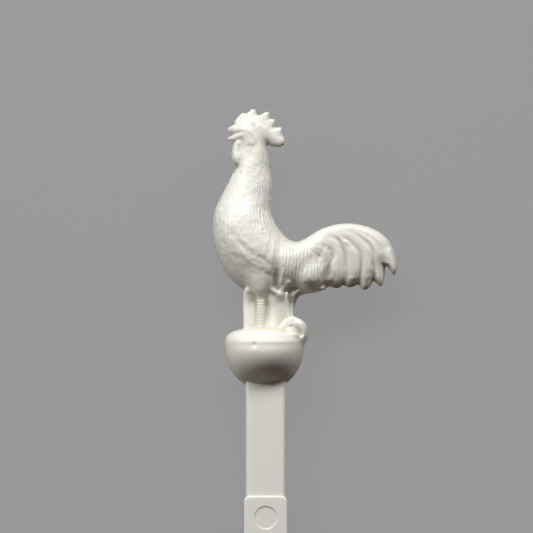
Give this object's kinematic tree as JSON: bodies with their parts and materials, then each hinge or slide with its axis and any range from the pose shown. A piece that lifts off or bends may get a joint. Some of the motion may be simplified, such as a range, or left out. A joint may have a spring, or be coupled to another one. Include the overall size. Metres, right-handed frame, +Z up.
{
  "type": "drink stirrer",
  "caption": "One-piece moulded plastic drink stirrer: a crowing cockerel on a half-ball perch tops a flat bevelled stem with a raised plain plaque and a rounded tip.",
  "frame": {"origin": "middle of the footprint's bounding box, on the surface that the stick lies on", "axes": "+Y from the stem's tip to the cockerel, +X towards the tail, +Z up through the near side of the stick as it lies"},
  "size_m": [0.023, 0.152, 0.0093],
  "materials": {
    "ivory_plastic": "satin-gloss ivory white moulding, faintly warm in the recesses"
  },
  "bodies": {
    "root": {"stirrer": "ivory_plastic"}
  },
  "joints": []
}
